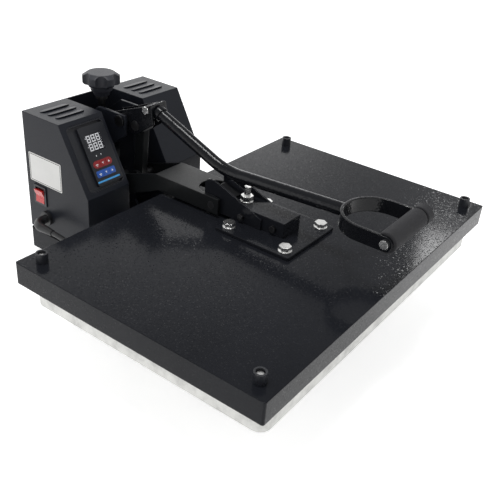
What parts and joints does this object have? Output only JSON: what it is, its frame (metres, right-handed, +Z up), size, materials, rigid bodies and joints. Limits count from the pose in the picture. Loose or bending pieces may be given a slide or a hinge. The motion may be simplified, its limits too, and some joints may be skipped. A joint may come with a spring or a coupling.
{
  "type": "flat heat press",
  "caption": "Manual clamshell flat heat press with heated upper platen, silicone pad on a lower bed, bent lever handle, pressure knob and two slanted control boxes",
  "frame": {"origin": "on the floor plane under the middle of the whole press", "axes": "+X to the operator's right, +Y to the back, +Z up; the press is closed at rest"},
  "size_m": [0.616, 0.5986, 0.2903],
  "materials": {
    "black_paint": "fine textured powder coat",
    "dark_paint": "smooth satin powder coat",
    "arm_paint": "hammered charcoal enamel",
    "tube_paint": "glossy hammered enamel",
    "bed_metal": "rough cast",
    "platen_metal": "machined",
    "zinc": "zinc plated",
    "steel": "turned",
    "silicone": "matte silicone sponge",
    "black_rubber": "moulded",
    "foam": "foam",
    "black_plastic": "moulded",
    "knob_plastic": "grained phenolic",
    "red_plastic": "moulded",
    "red_key": "printed film",
    "blue_key": "printed film",
    "display": "tinted window",
    "board": "glass-fibre board",
    "pale_plastic": "moulded",
    "blanket": "ceramic fibre",
    "heater_metal": "oxidised sheath"
  },
  "bodies": {
    "base": {"base_plinth": "black_paint", "base_beam": "black_paint", "base_front_foot": "black_paint", "rubber_feet": "black_rubber", "bed_rails": "black_paint", "lower_bed": "bed_metal", "silicone_pad": "silicone", "tower_plates": "dark_paint", "screw_bridge": "dark_paint", "arm_hinge_pin": "steel", "hinge_spacer": "steel", "handle_pivot": "steel", "left_box": "dark_paint", "right_box": "dark_paint", "rear_panel": "dark_paint", "panel_tray": "black_plastic", "keypad_plate": "black_plastic", "display_window": "display", "control_board": "board", "solid_state_relay": "pale_plastic", "switch_housing": "black_plastic", "cord_gland": "black_rubber", "cord_elbow": "black_rubber", "mains_cord": "black_rubber", "cord_coil": "black_rubber", "mains_plug": "black_rubber"},
    "upper_platen": {"press_arm": "arm_paint", "arm_pins": "steel", "yoke": "black_paint", "press_block": "black_paint", "yoke_bolts": "steel", "mount_plate": "black_paint", "mount_bolts": "zinc", "level_stud": "zinc", "cover_spacers": "steel", "platen_cover": "black_paint", "insulation": "blanket", "heater_element": "heater_metal", "heat_platen": "platen_metal", "corner_posts": "black_plastic", "corner_bolts": "zinc"},
    "handle": {"handle_tube": "tube_paint", "handle_fork": "tube_paint", "handle_collar": "tube_paint", "handle_bolts": "zinc", "crank_pin": "steel", "grip_strap": "tube_paint", "grip_bar": "foam", "grip_cap": "foam"},
    "link": {"toggle_link": "arm_paint"},
    "screw_foot": {"swivel_pad": "steel"},
    "knob": {"pressure_knob": "knob_plastic", "pressure_screw": "steel"},
    "rocker": {"switch_rocker": "red_plastic"},
    "key_red_set": {"key_red_set": "red_key"},
    "key_red_down": {"key_red_down": "red_key"},
    "key_red_up": {"key_red_up": "red_key"},
    "key_blue_set": {"key_blue_set": "blue_key"},
    "key_blue_down": {"key_blue_down": "blue_key"},
    "key_blue_up": {"key_blue_up": "blue_key"}
  },
  "joints": [
    {"name": "platen_lift", "type": "hinge", "parent": "base", "child": "upper_platen", "pos_m": [0, 0.23425, 0.1103], "axis": [-1, 0, 0], "range_deg": [0, 32.6]},
    {"name": "handle_lift", "type": "hinge", "parent": "base", "child": "handle", "pos_m": [0, 0.19625, 0.2343], "axis": [-1, 0, 0], "range_deg": [0, 64.28]},
    {"name": "link_swing", "type": "hinge", "parent": "handle", "child": "link", "pos_m": [0, 0.17225, 0.2303], "axis": [-1, 0, 0], "range_deg": [-72.37, 0]},
    {"name": "screw_rise", "type": "slide", "parent": "base", "child": "screw_foot", "axis": [0, 0, 1], "range_m": [0, 0.008]},
    {"name": "knob_turn", "type": "hinge", "parent": "screw_foot", "child": "knob", "pos_m": [0, 0.26425, 0.2], "axis": [0, 0, 1], "range_deg": [0, 1645.8]},
    {"name": "rocker_tilt", "type": "hinge", "parent": "base", "child": "rocker", "pos_m": [-0.1275, 0.26975, 0.1153], "axis": [0, 1, 0], "range_deg": [0, 18]},
    {"name": "key_red_set_press", "type": "slide", "parent": "base", "child": "key_red_set", "axis": [0, 0.8734, -0.4871], "range_m": [0, 0.0008], "stiffness_N_per_m": 300},
    {"name": "key_red_down_press", "type": "slide", "parent": "base", "child": "key_red_down", "axis": [0, 0.8734, -0.4871], "range_m": [0, 0.0008], "stiffness_N_per_m": 300},
    {"name": "key_red_up_press", "type": "slide", "parent": "base", "child": "key_red_up", "axis": [0, 0.8734, -0.4871], "range_m": [0, 0.0008], "stiffness_N_per_m": 300},
    {"name": "key_blue_set_press", "type": "slide", "parent": "base", "child": "key_blue_set", "axis": [0, 0.8734, -0.4871], "range_m": [0, 0.0008], "stiffness_N_per_m": 300},
    {"name": "key_blue_down_press", "type": "slide", "parent": "base", "child": "key_blue_down", "axis": [0, 0.8734, -0.4871], "range_m": [0, 0.0008], "stiffness_N_per_m": 300},
    {"name": "key_blue_up_press", "type": "slide", "parent": "base", "child": "key_blue_up", "axis": [0, 0.8734, -0.4871], "range_m": [0, 0.0008], "stiffness_N_per_m": 300}
  ],
  "couplings": [
    {"joint": "handle_lift", "follows": "platen_lift", "ratio": 1.972},
    {"joint": "link_swing", "follows": "platen_lift", "ratio": -2.22},
    {"joint": "knob_turn", "follows": "screw_rise", "rad_per_m": 3590.4}
  ]
}
